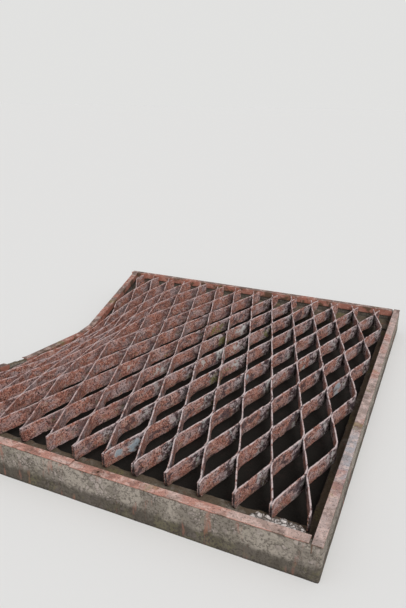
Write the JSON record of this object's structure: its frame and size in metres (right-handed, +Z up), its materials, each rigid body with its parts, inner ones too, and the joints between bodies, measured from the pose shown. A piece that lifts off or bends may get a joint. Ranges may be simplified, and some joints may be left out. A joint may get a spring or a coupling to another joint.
{
  "type": "cattle grid",
  "caption": "Rusty steel cattle grid: zigzag flat bars on edge joined into a diamond mesh, set in a shallow pit rim with steel angle edges, the left edge pushed in.",
  "frame": {"origin": "on the floor under the middle of the rim's outline", "axes": "+X across the bars, from the pushed-in left edge to the straight right edge; +Y along the bars, from the front of the picture to the back; +Z up"},
  "size_m": [2.5734, 2.8454, 0.2],
  "materials": {
    "bar_steel": "heavy brown-red rust with worn grey-pink top edges and patches of old pale blue paint",
    "angle_steel": "thin rust, greyish pink where trodden and driven on",
    "rim_concrete": "rough old concrete with stones showing, earth stains and moss"
  },
  "bodies": {
    "root": {"zigzag_bar_01": "bar_steel", "zigzag_bar_02": "bar_steel", "zigzag_bar_03": "bar_steel", "zigzag_bar_04": "bar_steel", "zigzag_bar_05": "bar_steel", "zigzag_bar_06": "bar_steel", "zigzag_bar_07": "bar_steel", "zigzag_bar_08": "bar_steel", "zigzag_bar_09": "bar_steel", "zigzag_bar_10": "bar_steel", "zigzag_bar_11": "bar_steel", "zigzag_bar_12": "bar_steel", "zigzag_bar_13": "bar_steel", "zigzag_bar_14": "bar_steel", "zigzag_bar_15": "bar_steel", "zigzag_bar_16": "bar_steel", "zigzag_bar_17": "bar_steel", "zigzag_bar_18": "bar_steel", "zigzag_bar_19": "bar_steel", "zigzag_bar_20": "bar_steel", "zigzag_bar_21": "bar_steel", "zigzag_bar_22": "bar_steel", "zigzag_bar_23": "bar_steel", "zigzag_bar_24": "bar_steel", "zigzag_bar_25": "bar_steel", "zigzag_bar_26": "bar_steel", "zigzag_bar_27": "bar_steel", "right_angle": "angle_steel", "back_angle": "angle_steel", "front_angle_left": "angle_steel", "front_angle_right": "angle_steel", "left_angle_bent": "angle_steel", "left_angle_front": "angle_steel", "front_rim": "rim_concrete", "back_rim": "rim_concrete", "right_rim": "rim_concrete", "left_rim_front": "rim_concrete", "left_rim_back": "rim_concrete", "pit_base": "rim_concrete"}
  },
  "joints": []
}
